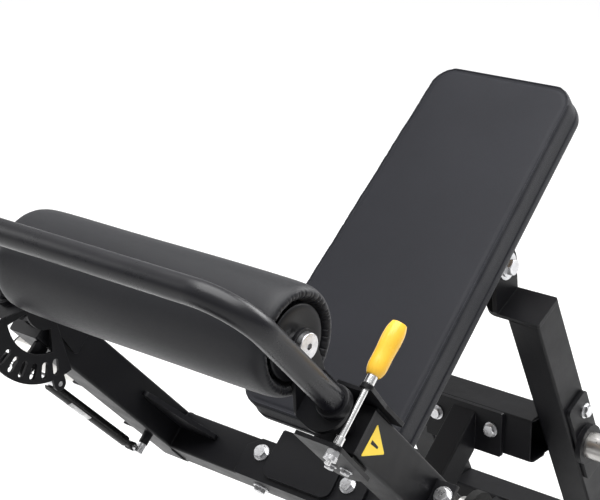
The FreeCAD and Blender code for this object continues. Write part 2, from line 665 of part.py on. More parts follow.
def build_roller():
    end = ROLLER_HALF
    body = rod(ROLLER_R, (-end, 0, 0), (end, 0, 0))
    rims = [e for e in body.Edges if hasattr(e.Curve, "Radius") and abs(e.Curve.Radius - ROLLER_R) < 0.01]
    body = body.makeFillet(14, rims)
    body = body.cut(rod(24, (-end, 0, 0), (end, 0, 0)))
    for sign in (-1, 1):
        body = body.cut(rod(53, (sign * (end - 5), 0, 0), (sign * end, 0, 0)))
    add("roller_sleeve", body, SWING)
    add("roller_core_tube", ring(24, 21, (-end + 5, 0, 0), (end - 5, 0, 0)), SWING)
    caps = []
    for sign in (-1, 1):
        disc = ring(52, AXLE_R + 2, (sign * (end - 5), 0, 0), (sign * (end - 1), 0, 0))
        dish = ring(44, AXLE_R + 2, (sign * (end - 2.5), 0, 0), (sign * (end - 1), 0, 0))
        add("roller_end_discs", disc.cut(dish), SWING)
        bearing = ring(21, AXLE_R + RUNNING, (sign * (end - 22), 0, 0), (sign * (end - 8), 0, 0))
        add("roller_bearings", bearing, SWING)
        spacer = ring(15, AXLE_R, (sign * (end + 0.5), 0, 0), (sign * BRACKET_X, 0, 0))
        add("axle_spacers", spacer, SWING)
        face = sign * (BRACKET_X + CARRIAGE_PLATE)
        cap = rod(18, (face, 0, 0), (face + sign * 9, 0, 0))
        cap = cap.makeFillet(1.5, [e for e in cap.Edges if abs(e.CenterOfMass.x - face - sign * 9) < 0.01
                                   and hasattr(e.Curve, "Radius")])
        socket = facing_x(hexagon(9, 6), face + sign * 3 if sign > 0 else face - 9)
        caps.append(cap.cut(socket))
    reach = BRACKET_X + CARRIAGE_PLATE
    add("roller_axle", fused([rod(AXLE_R, (-reach, 0, 0), (reach, 0, 0)), *caps]), SWING)


# ---- index plunger and gas spring ----
def build_plunger():
    spot = slot_spot(SLOT_REST, SLOT_RADIUS)
    near = -BRACKET_X - CARRIAGE_PLATE - 10
    hanger_discs = [(*spot, 13), (spot[0] + 14, ARM_BOTTOM - 4, 4), (spot[0] - 6, ARM_BOTTOM - 4, 4)]
    hanger = mirrored(facing_x(plate(hanger_discs, 6), -near))
    hanger = hanger.cut(rod(8, (near + 1, *spot), (near - 10, *spot)))
    body = fused([hanger, rod(8, (near, *spot), (near - 24, *spot)),
                  rod(11, (near - 6, *spot), (near - 12, *spot))])
    bore = rod(PIN_R + RUNNING, (near + 1, *spot), (near - 30, *spot))
    add("plunger_housing", body.cut(bore), SWING)
    tip = -BRACKET_X - CARRIAGE_PLATE - 1
    add("plunger_pin", rod(PIN_R, (tip, *spot), (near - 44, *spot)), SWING)
    knob = rod(13, (near - 44, *spot), (near - 62, *spot))
    knob = knob.makeFillet(4, [e for e in knob.Edges if hasattr(e.Curve, "Radius")])
    add("plunger_knob", knob, SWING)


def build_gas_spring():
    ball = V(0, *SPRING_BALL)
    lug = V(0, *SPRING_LUG)
    line = lug - ball
    line.normalize()
    length = lug.distanceToPoint(ball)
    x = SPRING_X

    def along(distance):
        point = ball + line * distance
        return (x, point.y, point.z)

    eye_a = (x - SPRING_EYE_HALF, ball.y, ball.z)
    eye_b = (x + SPRING_EYE_HALF, ball.y, ball.z)
    shell = fused([rod(9, along(20), along(length - 36)), rod(5.2, along(5.4), along(20)),
                   rod(SPRING_EYE_R, eye_a, eye_b)])
    shell = shell.cut(rod(5 + RUNNING, eye_a, eye_b))
    shell = shell.cut(rod(7, along(24), along(length - 44)))
    shell = shell.cut(rod(PIN_R + RUNNING, along(length - 48), along(length - 28)))
    add("gas_spring_cylinder", shell, SWING)
    tip_a = (x - SPRING_EYE_HALF, lug.y, lug.z)
    tip_b = (x + SPRING_EYE_HALF, lug.y, lug.z)
    piston = rod(6.9, along(length - 108), along(length - 98))
    shaft = rod(PIN_R, along(length - 98), along(length - 6))
    eye_bore = rod(5.3, tip_a, tip_b)
    add("gas_spring_rod", fused([piston, shaft, rod(SPRING_EYE_R, tip_a, tip_b)]).cut(eye_bore), SWING)
    post_x = x + 20
    post_low = ball.z + 10
    add("gas_spring_bracket", rod(8, (post_x, ball.y, post_low), (post_x, ball.y, ARM_BOTTOM)), SWING)
    stud = fused([rod(7, (post_x, ball.y, post_low), (post_x, ball.y, ball.z - 7)),
                  rod(5, (post_x, ball.y, ball.z), (x - 8, ball.y, ball.z)),
                  rod(7, (x - 8, ball.y, ball.z), (x - 10, ball.y, ball.z))])
    add("arm_bolts", stud, SWING)


build_base()
build_struts()
build_beam_and_brace()
build_stop()
build_pivot()
build_storage()
build_platform()
build_arms()
build_pad_bracket()
build_spine()
build_pad()
build_horns()
build_pull_pin()
build_brackets()
build_base_plates()
build_handle()
build_hinge_pins()
build_roller()
build_plunger()
build_gas_spring()

for name, shape in nodes.items():
    whole = Part.makeCompound(shape.Solids)
    whole.exportStep("parts/" + name + ".step")
    sound = all(solid.isValid() and solid.Volume > 0 for solid in shape.Solids)
    state = "ok" if sound else "BAD"
    print(f"{name:26s} {len(shape.Solids):2d} solids  {whole.Volume / 1000:9.1f} cm3  {state}")
print(len(nodes), "nodes")
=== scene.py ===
import json
import math
import random

import bmesh
import bpy
from mathutils import Matrix, Vector
from mathutils.bvhtree import BVHTree


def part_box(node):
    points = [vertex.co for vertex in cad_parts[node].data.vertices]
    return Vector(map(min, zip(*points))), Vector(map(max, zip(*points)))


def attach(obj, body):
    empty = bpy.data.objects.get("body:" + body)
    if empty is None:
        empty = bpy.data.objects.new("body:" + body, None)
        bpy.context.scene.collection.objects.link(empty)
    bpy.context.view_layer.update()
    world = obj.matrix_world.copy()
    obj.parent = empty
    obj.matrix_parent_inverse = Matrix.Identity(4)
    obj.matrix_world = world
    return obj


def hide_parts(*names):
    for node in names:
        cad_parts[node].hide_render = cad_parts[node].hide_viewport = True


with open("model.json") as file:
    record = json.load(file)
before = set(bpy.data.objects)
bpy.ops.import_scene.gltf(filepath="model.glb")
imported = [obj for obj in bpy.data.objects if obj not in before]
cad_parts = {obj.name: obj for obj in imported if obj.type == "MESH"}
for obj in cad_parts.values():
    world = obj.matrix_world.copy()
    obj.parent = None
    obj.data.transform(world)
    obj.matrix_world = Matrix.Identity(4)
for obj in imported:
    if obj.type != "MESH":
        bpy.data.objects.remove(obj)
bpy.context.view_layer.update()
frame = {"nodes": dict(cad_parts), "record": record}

# Hip thrust machine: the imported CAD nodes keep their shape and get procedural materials. The back pad,
# the roller cover, labels and weld beads are built here. Lengths inside this file are in millimetres
# in the swing frame (x, along the arms, square to the arms) until swing() turns them into metres.

random.seed(11)

SLOPE = math.radians(45.8)                 # slope of the arms
ROLLER = Vector((0.0, -0.1375, 0.780))     # roller centre
SWING = Matrix.Translation(ROLLER) @ Matrix.Rotation(-SLOPE, 4, "X")

PAD_FRONT = 449.0            # the pad face along the arms, level with the roller centre
PAD_LEAN = math.radians(3.5)
PAD_LOW = 20.0               # heights of the pad's two ends
PAD_HIGH = 723.0
PAD_HALF_LOW = 157.0         # half widths at the two ends
PAD_HALF_HIGH = 139.0
PAD_CORNER = 42.0
PAD_FOAM = 51.0              # depth of the foam
PAD_DEPTH = 63.0             # depth of the foam and its board
PAD = SWING @ Matrix.Translation((0, PAD_FRONT / 1000, 0)) @ Matrix.Rotation(-PAD_LEAN, 4, "X")
HELD_DEPTH = 10.0            # the cover is held behind this depth and this near the edge
HELD_EDGE = 7.0
VOXEL = 0.004                # face size of the even skin, in metres
PRESSURE = 2.5
MOST_MOVE = 0.004            # no point of the inflated pad moves further, in metres
CLOTH_FRAMES = 20
SEAM_INSET = 9.0             # the drawn-in line beside the sewn edge
SEAM_PULL = 1.3
SEAM_WIDTH = 3.0
SEAM_DEPTH = 12.0
SEAM_RADIUS = 0.0017         # the sewn edge itself, in metres
STAPLE_INSET = 20.0
STAPLE_PITCH = 34.0

ROLLER_SIDES = 480           # points round the roller and its end discs
DISC_SIDES = 96
CORE_R = 30.0                # where the cover's turned-in ends stop inside the foam
CORE_X = 231.0
PLEAT_GAP = (0.07, 0.21)     # angles between gathers, their widths and how strong they are
PLEAT_WIDTH = (0.014, 0.034)
PLEAT_STRENGTH = (0.35, 1.0)
PLEAT_REACH = 0.15
RIM_ROW = 16                 # rows of the roller's profile: where the rim starts,
PLEAT_ROW = 20               # where the gathers start,
PLEAT_ROWS = 12.0            # and how many rows they need to reach full depth
PLEAT_DEPTH = 1.6            # how far a full gather sinks, and how far it draws inwards
PLEAT_DRAW = 5.0
LEFT_END_TURN = 37           # the left end's gathers start this many points further round

ARM_OUTER = 330.0
ARM_INNER = 270.0
ARM_TOP = -17.3
ARM_BOTTOM = -85.3
ARM_BACK = 565.0
CROSS_FRONT = 505.0          # front face of the cross member
GUSSET_TOP = ARM_TOP - 22
HORN_WEB = (334, 476, -81, -25)      # the weight horn's plate, along and square to the arm

SPRING_X = -310.0            # gas spring: its two ends and its cylinder's radius
SPRING_BALL = Vector((464.0, -115.0))
SPRING_LUG = Vector((188.0, -119.0))
SPRING_R = 9.0
LABEL_ALONG = (128.0, 147.0, 166.0, 185.0)     # the spring's label, measured from the rear end
LABEL_START = -40.0                            # and round the cylinder, in degrees
LABEL_SWEEP = 105.0

PLATFORM_SLOPE = math.radians(30.0)
PLATFORM_CENTRE = ROLLER + Vector((0, -0.575, -0.500))
TREAD_HALF = (250.0, 146.0)
STUD_PITCH = 26.0
BOLT_PLACE = (180.0, 130.0)  # the foot plate's bolts, left free of studs
BOLT_ROOM = 22.0

WELD_R = 2.6
BASE_WELD_R = 3.0
RIPPLE_PITCH = 3.4
BEAD_SHORT = 0.004           # beads stop this far from a base tube's corner, in metres

FLOOR_HALF = 300.0
FLOOR_GLOW = 0.66


def swing(x, d, c):
    """A point given in millimetres along the swinging frame, in the machine's frame, in metres."""
    return SWING @ Vector((x / 1000, d / 1000, c / 1000))


# ---------------------------------------------------------------- node helpers

class Nodes:
    """Short names for building one material's node tree."""

    def __init__(self, name):
        self.material = bpy.data.materials.new(name)
        self.material.use_nodes = True
        self.tree = self.material.node_tree
        self.shader = self.tree.nodes["Principled BSDF"]
        coords = self.tree.nodes.new("ShaderNodeTexCoord")
        self.place = coords.outputs["Object"]

    def link(self, source, target):
        self.tree.links.new(source, target)

    def set(self, **values):
        for name, value in values.items():
            self.shader.inputs[name.replace("_", " ")].default_value = value

    def noise(self, scale, detail=3.0, rough=0.5, stretch=None):
        node = self.tree.nodes.new("ShaderNodeTexNoise")
        node.inputs["Scale"].default_value = scale
        node.inputs["Detail"].default_value = detail
        node.inputs["Roughness"].default_value = rough
        self.link(self.stretched(stretch), node.inputs["Vector"])
        return node.outputs["Fac"]

    def cells(self, scale):
        """Distance to the edge of each cell."""
        node = self.tree.nodes.new("ShaderNodeTexVoronoi")
        node.feature = "DISTANCE_TO_EDGE"
        node.inputs["Scale"].default_value = scale
        self.link(self.place, node.inputs["Vector"])
        return node.outputs["Distance"]

    def stretched(self, factors):
        if factors is None:
            return self.place
        node = self.tree.nodes.new("ShaderNodeMapping")
        node.inputs["Scale"].default_value = factors
        self.link(self.place, node.inputs["Vector"])
        return node.outputs["Vector"]

    def ramp(self, source, *stops):
        """Colour ramp; each stop is (position, colour or grey)."""
        node = self.tree.nodes.new("ShaderNodeValToRGB")
        ramp = node.color_ramp
        while len(ramp.elements) < len(stops):
            ramp.elements.new(0.5)
        for element, (position, value) in zip(ramp.elements, stops):
            element.position = position
            grey = (value, value, value)
            element.color = (*(value if isinstance(value, tuple) else grey), 1.0)
        self.link(source, node.inputs["Fac"])
        return node.outputs["Color"]

    def mix(self, factor, a, b, mode="MIX"):
        node = self.tree.nodes.new("ShaderNodeMix")
        node.data_type = "RGBA"
        node.blend_type = mode
        for socket, value in ((node.inputs[0], factor), (node.inputs[6], a), (node.inputs[7], b)):
            if isinstance(value, bpy.types.NodeSocket):
                self.link(value, socket)
            elif isinstance(value, tuple):
                socket.default_value = (*value, 1.0)
            else:
                socket.default_value = value
        return node.outputs[2]

    def bump(self, height, distance, strength=1.0, under=None):
        node = self.tree.nodes.new("ShaderNodeBump")
        node.inputs["Strength"].default_value = strength
        node.inputs["Distance"].default_value = distance
        self.link(height, node.inputs["Height"])
        if under is not None:
            self.link(under, node.inputs["Normal"])
        return node.outputs["Normal"]

    def rounded(self, radius):
        """Normals that turn softly over sharp edges, and a mask of those edges."""
        bevel = self.tree.nodes.new("ShaderNodeBevel")
        bevel.samples = 4
        bevel.inputs["Radius"].default_value = radius
        facing = self.tree.nodes.new("ShaderNodeNewGeometry")
        dot = self.tree.nodes.new("ShaderNodeVectorMath")
        dot.operation = "DOT_PRODUCT"
        self.link(bevel.outputs["Normal"], dot.inputs[0])
        self.link(facing.outputs["Normal"], dot.inputs[1])
        edge = self.ramp(dot.outputs["Value"], (0.80, 1.0), (0.985, 0.0))
        return bevel.outputs["Normal"], edge

    def colour(self, source):
        self.link(source, self.shader.inputs["Base Color"])

    def roughness(self, source):
        self.link(source, self.shader.inputs["Roughness"])

    def normal(self, source):
        self.link(source, self.shader.inputs["Normal"])


def powder_coat(name, dark, light, rough, grain, wear=0.045, shine=0.22):
    """Baked powder paint: orange peel, cloudy gloss and rubbed edges."""
    m = Nodes(name)
    cloud = m.noise(7.0, 5.0, 0.6)
    base = m.ramp(cloud, (0.3, dark), (0.75, light))
    normal, edge = m.rounded(0.0014)
    scuff = m.ramp(m.noise(38.0, 8.0, 0.7), (0.46, 0.0), (0.62, 1.0))
    worn = m.mix(1.0, edge, scuff, "MULTIPLY")
    dust = m.ramp(m.noise(160.0, 4.0, 0.7), (0.60, 0.0), (0.72, 0.35))
    base = m.mix(dust, base, tuple(v * 2.2 for v in light))
    m.colour(m.mix(worn, base, (wear, wear, wear * 1.03)))
    m.roughness(m.ramp(m.noise(24.0, 6.0, 0.65), (0.3, rough - 0.05), (0.7, rough + 0.07)))
    peel = m.noise(grain, 2.0, 0.5)
    m.normal(m.bump(peel, 0.00018, 0.55, normal))
    m.set(IOR=1.48, Specular_IOR_Level=shine)
    return m.material


def vinyl(name, dark, light, rough, shine):
    """Upholstery vinyl: pebbled grain with painted shade in the valleys between pebbles, fine pores and a
    handled sheen.
    """
    m = Nodes(name)
    cloud = m.noise(5.0, 6.0, 0.6)
    rubbed = m.noise(2.2, 3.0, 0.5)
    base = m.ramp(cloud, (0.32, dark), (0.7, light))
    pebble = m.cells(760.0)
    # painted shade: the colour is multiplied darker in the narrow valleys between the raised pebbles
    valley_shade = m.ramp(pebble, (0.0, 0.55), (0.09, 1.0))
    m.colour(m.mix(0.55, base, valley_shade, "MULTIPLY"))
    gloss = m.ramp(rubbed, (0.35, rough - 0.04), (0.65, rough + 0.06))
    m.roughness(m.mix(m.ramp(pebble, (0.0, 0.6), (0.2, 0.0)), gloss, (0.75, 0.75, 0.75)))
    raised = m.ramp(pebble, (0.0, 0.0), (0.28, 1.0))
    coarse = m.bump(m.noise(60.0, 4.0, 0.6), 0.0006, 0.25)
    m.normal(m.bump(raised, 0.00010, 0.55, coarse))
    m.set(IOR=1.46, Specular_IOR_Level=shine, Sheen_Weight=0.05, Sheen_Roughness=0.45)
    return m.material


def metal(name, dark, light, rough, brushed=None, spots=0.0):
    """Bare or plated metal: cloudy tone, fine or brushed grain and, where given, dull spots."""
    m = Nodes(name)
    normal, edge = m.rounded(0.0006)
    cloud = m.noise(60.0, 6.0, 0.65)
    base = m.ramp(cloud, (0.3, dark), (0.7, light))
    if spots:
        stain = m.ramp(m.noise(220.0, 5.0, 0.7), (0.58, 0.0), (0.74, spots))
        base = m.mix(stain, base, tuple(v * 0.45 for v in dark))
    m.colour(m.mix(edge, base, tuple(min(1.0, v * 1.15) for v in light)))
    m.roughness(m.ramp(m.noise(90.0, 5.0, 0.6), (0.3, rough - 0.05), (0.7, rough + 0.08)))
    grain = m.noise(420.0, 3.0, 0.6, brushed)
    m.normal(m.bump(grain, 0.00008, 0.5, normal))
    m.set(Metallic=1.0)
    return m.material


def plastic(name, dark, light, rough, grain=1400.0, shine=0.3):
    """Moulded plastic or rubber with a fine grain and paler edges."""
    m = Nodes(name)
    normal, edge = m.rounded(0.0009)
    base = m.ramp(m.noise(14.0, 5.0, 0.6), (0.3, dark), (0.7, light))
    m.colour(m.mix(edge, base, tuple(min(1.0, v * 1.5) for v in light)))
    m.roughness(m.ramp(m.noise(30.0, 6.0, 0.6), (0.3, rough - 0.05), (0.7, rough + 0.08)))
    m.normal(m.bump(m.noise(grain, 2.0, 0.5), 0.00006, 0.6, normal))
    m.set(IOR=1.47, Specular_IOR_Level=shine)
    return m.material


def plywood(name):
    """Long pale grain along the board."""
    m = Nodes(name)
    grain = m.noise(26.0, 6.0, 0.65, (1.0, 9.0, 1.2))
    m.colour(m.ramp(grain, (0.3, (0.20, 0.12, 0.06)), (0.7, (0.42, 0.29, 0.16))))
    m.roughness(m.ramp(grain, (0.3, 0.6), (0.7, 0.75)))
    m.normal(m.bump(grain, 0.0004, 0.4))
    return m.material


def grey(value, tint=1.0):
    """A grey, with its blue multiplied by tint."""
    return (value, value, value * tint)


MATERIALS = {
    "powder_coat": powder_coat("powder_coat", grey(0.0034, 1.25), grey(0.0050, 1.25), 0.42, 900.0,
                               shine=0.17),
    "handle_coat": powder_coat("handle_coat", grey(0.0042, 1.35), grey(0.0060, 1.35), 0.29, 1300.0,
                               shine=0.33),
    "black_plastic": plastic("black_plastic", grey(0.0046, 1.2), grey(0.0070, 1.2), 0.40, shine=0.2),
    "black_rubber": plastic("black_rubber", grey(0.008), grey(0.012), 0.72, 700.0, 0.15),
    "zinc": metal("zinc", grey(0.46, 1.02), grey(0.66, 1.02), 0.28, spots=0.5),
    "ground_steel": metal("ground_steel", grey(0.60), grey(0.76), 0.18, brushed=(1.0, 6.0, 6.0)),
    "core_steel": metal("core_steel", grey(0.30), grey(0.42), 0.45, spots=0.6),
    "bronze": metal("bronze", (0.42, 0.27, 0.10), (0.60, 0.42, 0.18), 0.30),
    "satin_steel": metal("satin_steel", (0.52, 0.508, 0.488), (0.64, 0.626, 0.605), 0.30,
                         brushed=(0.4, 8.0, 8.0)),
    "gas_chrome": metal("gas_chrome", grey(0.72), grey(0.82), 0.08),
    "gas_black": powder_coat("gas_black", grey(0.007), grey(0.010), 0.22, 500.0),
    "pad_vinyl": vinyl("pad_vinyl", (0.0060, 0.0064, 0.0094), (0.0082, 0.0087, 0.0124), 0.47, 0.20),
    "roller_vinyl": vinyl("roller_vinyl", (0.0048, 0.0050, 0.0068), (0.0066, 0.0069, 0.0092),
                          0.36, 0.30),
    "plywood": plywood("plywood"),
    "yellow_grip": plastic("yellow_grip", (0.64, 0.365, 0.032), (0.72, 0.43, 0.042), 0.22, 500.0),
    "yellow_label": plastic("yellow_label", (0.80, 0.56, 0.04), (0.88, 0.62, 0.05), 0.38, 900.0),
    "silver_label": plastic("silver_label", grey(0.55), grey(0.68), 0.35, 900.0),
}

slots = {entry["node"]: entry["material_slot"] for entry in frame["record"]["subparts"]}
for node, piece in frame["nodes"].items():
    piece.data.materials.clear()
    piece.data.materials.append(MATERIALS[slots[node]])


# ---------------------------------------------------------------- mesh helpers

def mesh_object(name, points, faces, material, smooth=True):
    """A new object from points in metres, with its faces turned outwards."""
    mesh = bpy.data.meshes.new(name)
    mesh.from_pydata([tuple(p) for p in points], [], faces)
    mesh.validate()
    built = bmesh.new()
    built.from_mesh(mesh)
    bmesh.ops.recalc_face_normals(built, faces=built.faces)
    built.to_mesh(mesh)
    built.free()
    mesh.materials.append(material)
    mesh.polygons.foreach_set("use_smooth", [smooth] * len(mesh.polygons))
    piece = bpy.data.objects.new(name, mesh)
    bpy.context.scene.collection.objects.link(piece)
    return piece


def circle(count):
    """The angles of count points round a circle."""
    return [2 * math.pi * k / count for k in range(count)]


def rings(loops, caps=True):
    """Faces that join equal closed loops of points, with the first and last loop filled."""
    count = len(loops[0])
    points = [p for loop in loops for p in loop]
    faces = []
    for i in range(len(loops) - 1):
        for j in range(count):
            k = (j + 1) % count
            faces.append((i * count + j, i * count + k, (i + 1) * count + k, (i + 1) * count + j))
    if caps:
        faces.append(tuple(reversed(range(count))))
        faces.append(tuple((len(loops) - 1) * count + j for j in range(count)))
    return points, faces


def hoop(loops):
    """Faces that join equal closed loops of points, the last one to the first."""
    points, faces = rings(loops + [loops[0]], caps=False)
    last = len(loops) * len(loops[0])
    return points[:last], [tuple(v - last if v >= last else v for v in face) for face in faces]


# ---------------------------------------------------------------- back pad

def on_pad(x, depth, height):
    """A point in millimetres across, into and up the pad, in the machine's frame, in metres."""
    return PAD @ Vector((x / 1000, depth / 1000, height / 1000))


def pad_outline(inset, per_corner=16):
    """Points (x, height) round the tapered pad with its rounded corners, drawn in by inset."""
    corners = [(PAD_HALF_LOW - PAD_CORNER, PAD_LOW + PAD_CORNER, -90),
               (PAD_HALF_HIGH - PAD_CORNER, PAD_HIGH - PAD_CORNER, 0),
               (PAD_CORNER - PAD_HALF_HIGH, PAD_HIGH - PAD_CORNER, 90),
               (PAD_CORNER - PAD_HALF_LOW, PAD_LOW + PAD_CORNER, 180)]
    r = PAD_CORNER - inset
    points = []
    for x, height, start in corners:
        for i in range(per_corner + 1):
            a = math.radians(start + 90 * i / per_corner)
            points.append((x + r * math.cos(a), height + r * math.sin(a)))
    return points


def pad_shell(swell):
    """Closed pad form, a little smaller than the finished pad by swell."""
    levels = [(PAD_FOAM - 0.3, 4.0), (PAD_FOAM - 1.0, 2.4), (PAD_FOAM - 4.0, 1.2), (44.0, 1.4),
              (26.0, 1.6), (swell + 9.0, 1.0), (swell + 3.4, 1.2), (swell + 0.9, 2.2),
              (swell, 4.2)]
    loops = [[on_pad(x, depth, height) for x, height in pad_outline(inset)] for depth, inset in levels]
    return rings(loops)


def inflate(piece, pinned):
    """Cloth pressure on the remeshed shell, outside its pinned part."""
    start = [v.co.copy() for v in piece.data.vertices]
    group = piece.vertex_groups.new(name="held")
    for vertex in piece.data.vertices:
        if pinned(vertex.co):
            group.add([vertex.index], 1.0, "REPLACE")
    cloth = piece.modifiers.new("cloth", "CLOTH")
    cloth.settings.quality = 6
    cloth.settings.mass = 0.35
    cloth.settings.tension_stiffness = 22
    cloth.settings.compression_stiffness = 22
    cloth.settings.shear_stiffness = 14
    cloth.settings.bending_stiffness = 3
    cloth.settings.use_pressure = True
    cloth.settings.uniform_pressure_force = PRESSURE
    cloth.settings.effector_weights.gravity = 0.0
    cloth.settings.vertex_group_mass = "held"
    cloth.point_cache.frame_start = 1
    cloth.point_cache.frame_end = CLOTH_FRAMES
    scene = bpy.context.scene
    for number in range(1, CLOTH_FRAMES + 1):
        scene.frame_set(number)
    graph = bpy.context.evaluated_depsgraph_get()
    settled = [v.co.copy() for v in piece.evaluated_get(graph).data.vertices]
    piece.modifiers.remove(cloth)
    scene.frame_set(1)
    for vertex, before, after in zip(piece.data.vertices, start, settled):
        move = after - before
        if move.length > MOST_MOVE:
            move *= MOST_MOVE / move.length
        vertex.co = before + move


def remesh(piece):
    """An even skin of small faces over the whole piece."""
    modifier = piece.modifiers.new("remesh", "REMESH")
    modifier.mode = "VOXEL"
    modifier.voxel_size = VOXEL
    modifier.use_smooth_shade = True
    bake(piece)


def bake(piece):
    """Applies every modifier on the piece."""
    graph = bpy.context.evaluated_depsgraph_get()
    mesh = bpy.data.meshes.new_from_object(piece.evaluated_get(graph))
    piece.modifiers.clear()
    piece.data = mesh


def relax(piece):
    """One light smoothing of the whole mesh."""
    mesh = bmesh.new()
    mesh.from_mesh(piece.data)
    bmesh.ops.smooth_vert(mesh, verts=mesh.verts, factor=0.4,
                          use_axis_x=True, use_axis_y=True, use_axis_z=True)
    mesh.to_mesh(piece.data)
    mesh.free()


def edge_distance(place):
    """How far a point on the pad, in metres, lies inside its rounded outline, in millimetres."""
    x, height = place.x * 1000, place.z * 1000
    half = PAD_HALF_LOW + (PAD_HALF_HIGH - PAD_HALF_LOW) * (height - PAD_LOW) / (PAD_HIGH - PAD_LOW)
    r = PAD_CORNER
    dx = max(abs(x) - (half - r), 0.0)
    dz = max(PAD_LOW + r - height, height - (PAD_HIGH - r), 0.0)
    if dx > 0 and dz > 0:
        return r - math.hypot(dx, dz)
    return min(half - abs(x), height - PAD_LOW, PAD_HIGH - height)


def held(place):
    """The side band and the sewn edge stay put while the front face fills out."""
    return place.y * 1000 > HELD_DEPTH or edge_distance(place) < HELD_EDGE


def tuck_seam(pad, to_local):
    """Draws the vinyl in beside the sewn line round the front face."""
    for vertex in pad.data.vertices:
        place = to_local @ vertex.co
        if place.y * 1000 < SEAM_DEPTH:
            pull = SEAM_PULL * math.exp(-((edge_distance(place) - SEAM_INSET) / SEAM_WIDTH) ** 2)
            vertex.co = PAD @ Vector((place.x, place.y + pull / 1000, place.z))


def make_pad():
    """The cushion: flat band, sewn edge and a front face that fills out a little."""
    points, faces = pad_shell(2.5)
    pad = mesh_object("pad_cushion", points, faces, MATERIALS["pad_vinyl"])
    remesh(pad)
    to_local = PAD.inverted()
    inflate(pad, lambda p: held(to_local @ p))
    relax(pad)
    subdivide = pad.modifiers.new("finer", "SUBSURF")
    subdivide.levels = 1
    subdivide.render_levels = 1
    bake(pad)
    tuck_seam(pad, to_local)
    pad.data.polygons.foreach_set("use_smooth", [True] * len(pad.data.polygons))
    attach(pad, "press_frame")
    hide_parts("back_pad")
    return pad


def tube_along(points, radius):
    """A thin tube round a closed path on the pad's face."""
    loops = []
    out = PAD.to_3x3() @ Vector((0, -1, 0))
    for i, point in enumerate(points):
        ahead = (points[(i + 1) % len(points)] - points[i - 1]).normalized()
        side = ahead.cross(out).normalized()
        up = side.cross(ahead)
        loops.append([point + radius * (math.cos(a) * up + math.sin(a) * side) for a in circle(10)])
    return hoop(loops)


def along_outline(outline, pitch):
    """Points about pitch apart round a closed outline, each with the direction of its side."""
    spots = []
    for i, (x, height) in enumerate(outline):
        x2, height2 = outline[(i + 1) % len(outline)]
        span = math.hypot(x2 - x, height2 - height)
        count = max(1, round(span / pitch))
        for k in range(count):
            t = k / count
            spots.append((x + (x2 - x) * t, height + (height2 - height) * t,
                          (x2 - x) / span, (height2 - height) / span))
    return spots


def make_pad_seam(pad):
    """The sewn edge between the pad's front panel and its side band."""
    tree = BVHTree.FromObject(pad, bpy.context.evaluated_depsgraph_get())
    line = [spot[:2] for spot in along_outline(pad_outline(2.0, 24), 4)]
    path = [tree.find_nearest(on_pad(x, 0.5, height))[0] for x, height in line]
    verts, faces = tube_along(path, SEAM_RADIUS)
    seam = mesh_object("pad_seam", verts, faces, MATERIALS["pad_vinyl"])
    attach(seam, "press_frame")


def make_pad_back():
    """The vinyl wrapped round the pad's edge onto the back of the board, and the staples that hold it."""
    levels = [(PAD_FOAM - 9.0, 1.1), (PAD_FOAM - 5.0, 0.6), (PAD_FOAM + 3.0, 0.8),
              (PAD_FOAM + 8.0, 2.0), (PAD_DEPTH - 1.0, 4.0), (PAD_DEPTH + 0.5, 6.5),
              (PAD_DEPTH + 0.9, 14.0), (PAD_DEPTH + 0.8, 24.0), (PAD_DEPTH + 0.2, 26.0)]
    loops = [[on_pad(x, depth, height) for x, height in pad_outline(inset)] for depth, inset in levels]
    points, faces = rings(loops, caps=False)
    cover = mesh_object("pad_wrap", points, faces, MATERIALS["pad_vinyl"])
    solid = cover.modifiers.new("thickness", "SOLIDIFY")
    solid.thickness = 0.0008
    solid.offset = 0.0
    bake(cover)
    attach(cover, "press_frame")
    points, faces = [], []
    corners = [(-5, -0.5), (5, -0.5), (5, 0.5), (-5, 0.5)]
    for x, height, ux, uz in along_outline(pad_outline(STAPLE_INSET, 6), STAPLE_PITCH):
        start = len(points)
        for lift in (0.8, 1.9):
            for along, across in corners:
                points.append(on_pad(x + along * ux - across * uz, PAD_DEPTH + lift,
                                     height + along * uz + across * ux))
        faces += [tuple(start + v for v in f) for f in
                  ((3, 2, 1, 0), (4, 5, 6, 7), (0, 1, 5, 4), (1, 2, 6, 5), (2, 3, 7, 6), (3, 0, 4, 7))]
    pins = mesh_object("pad_staples", points, faces, MATERIALS["zinc"], smooth=False)
    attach(pins, "press_frame")


# ---------------------------------------------------------------- roller

def on_roller(x, radius, a):
    """A point at one angle round the roller's axis, in the machine's frame."""
    return swing(x, radius * math.cos(a), radius * math.sin(a))


def gather_depths():
    """Depth of the gathers at each point round the roller's end, from 0 to 1."""
    pleats = []
    angle = 0.0
    while angle < 2 * math.pi - 0.06:
        pleats.append((angle, random.uniform(*PLEAT_WIDTH), random.uniform(*PLEAT_STRENGTH)))
        angle += random.uniform(*PLEAT_GAP)
    depths = []
    for a in circle(ROLLER_SIDES):
        depth = 0.0
        for centre, width, strength in pleats:
            away = (a - centre + math.pi) % (2 * math.pi) - math.pi
            if abs(away) < PLEAT_REACH:
                depth = max(depth, strength * math.exp(-(away / width) ** 2))
        depths.append(depth)
    return depths


def roller_profile():
    """Points (x, radius, row) from end to end; rows count outwards from the middle."""
    profile = [(0.0, 77.0), (60.0, 77.0), (120.0, 77.0), (170.0, 76.9), (205.0, 76.6), (222.0, 76.2),
               (231.0, 75.7), (237.0, 75.0), (242.0, 73.8), (246.0, 72.0), (249.2, 69.6), (251.0, 67.0),
               (251.6, 64.4), (251.0, 62.0), (249.4, 59.8), (247.0, 58.0), (244.0, 56.6), (241.0, 55.4),
               (237.0, 54.2), (233.0, 53.2)]
    half = []
    for (x, r), (x2, r2) in zip(profile, profile[1:]):
        half += [(x + (x2 - x) * t, r + (r2 - r) * t) for t in (0.0, 0.5)]
    half.append(profile[-1])
    right = [(x, r, row) for row, (x, r) in enumerate(half)]
    left = [(-x, r, row) for x, r, row in reversed(right)]
    return left[:-1] + right


